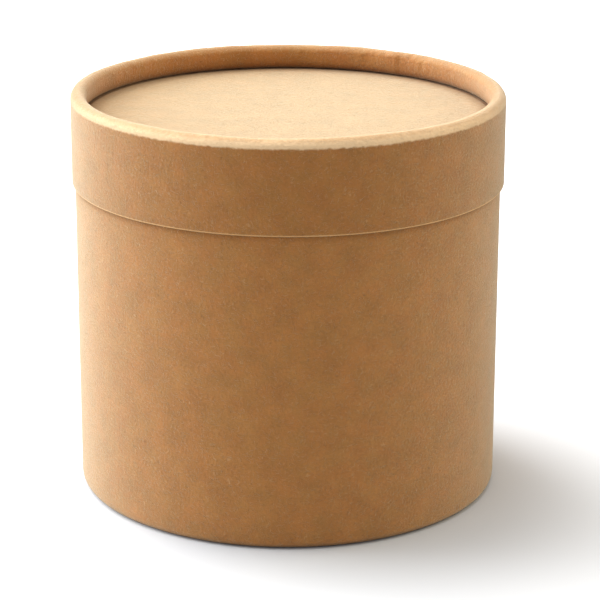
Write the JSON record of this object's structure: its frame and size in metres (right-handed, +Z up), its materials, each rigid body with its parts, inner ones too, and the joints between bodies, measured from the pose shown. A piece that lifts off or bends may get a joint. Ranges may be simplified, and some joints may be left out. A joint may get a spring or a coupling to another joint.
{
  "type": "cardboard tub",
  "caption": "Round kraft cardboard tub with a slip-over lid, a rolled rim round a recessed lid panel and a curled foot under a recessed base.",
  "frame": {"origin": "centre of the foot, in the plane that the tub stands on", "axes": "+Z up along the tub's axis, -Y towards the viewer of the picture"},
  "size_m": [0.1066, 0.1066, 0.1],
  "materials": {
    "tub_board": "matt kraft paper",
    "base_board": "matt kraft paper",
    "lid_board": "matt kraft paper",
    "lid_disc_board": "matt kraft paper"
  },
  "bodies": {
    "tub": {"tub_wall": "tub_board", "base_disc": "base_board"},
    "lid": {"lid_wall": "lid_board", "lid_disc": "lid_disc_board"}
  },
  "joints": [
    {"name": "lid_lift", "type": "slide", "parent": "tub", "child": "lid", "axis": [0, 0, 1], "range_m": [0, 0.08]}
  ]
}
